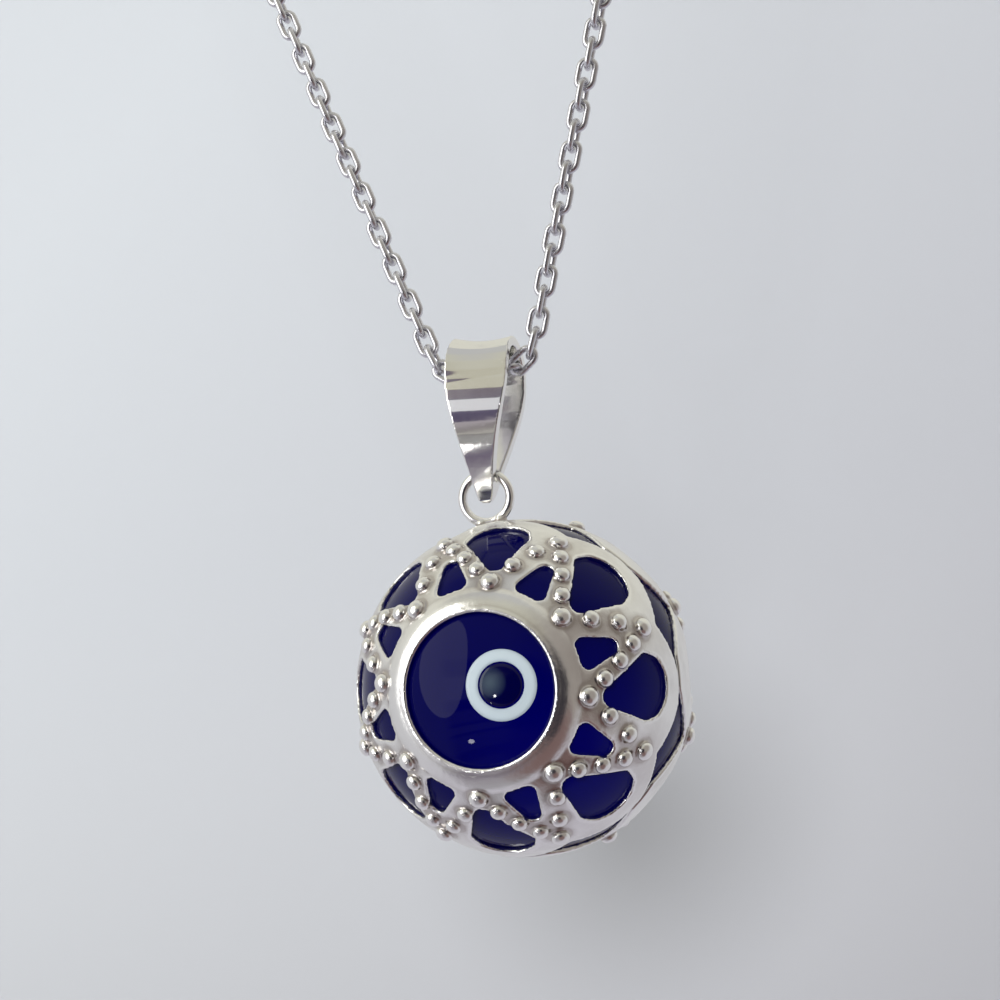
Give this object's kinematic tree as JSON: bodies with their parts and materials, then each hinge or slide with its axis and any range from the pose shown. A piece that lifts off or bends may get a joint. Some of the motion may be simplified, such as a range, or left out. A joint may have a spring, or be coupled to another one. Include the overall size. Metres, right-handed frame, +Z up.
{
  "type": "evil eye pendant on a chain",
  "caption": "Evil eye pendant: cobalt glass bead in a pierced silver cage of two beaded cups, hung by a soldered ring and a folded bail on a fine cable chain.",
  "frame": {"origin": "centre of the neck at the level where the chain lies on it", "axes": "+Z up with the pendant hanging down, the front eye looks along -Y, +X to the right as seen from the front"},
  "size_m": [0.0952, 0.0651, 0.169],
  "materials": {
    "silver": "polished cast and drawn silver",
    "cobalt_glass": "polished deep cobalt glass",
    "white_glass": "glossy opaque white glass",
    "pupil_glass": "glossy near-black blue glass"
  },
  "bodies": {
    "chain": {"chain_front": "silver", "chain_back": "silver", "clasp": "silver"},
    "bail": {"bail": "silver"},
    "drop": {"front_cup": "silver", "back_cup": "silver", "glass_bead": "cobalt_glass", "eye_white_front": "white_glass", "eye_pupil_front": "pupil_glass", "eye_white_back": "white_glass", "eye_pupil_back": "pupil_glass"}
  },
  "joints": [
    {"name": "bail_swing", "type": "hinge", "parent": "chain", "child": "bail", "pos_m": [0, 0, -0.13751], "axis": [1, 0, 0], "range_deg": [-80, 80]},
    {"name": "drop_swing", "type": "hinge", "parent": "bail", "child": "drop", "pos_m": [-0.00063, 0, -0.14353], "axis": [0.9945, 0, -0.1045], "range_deg": [-50, 50]}
  ]
}
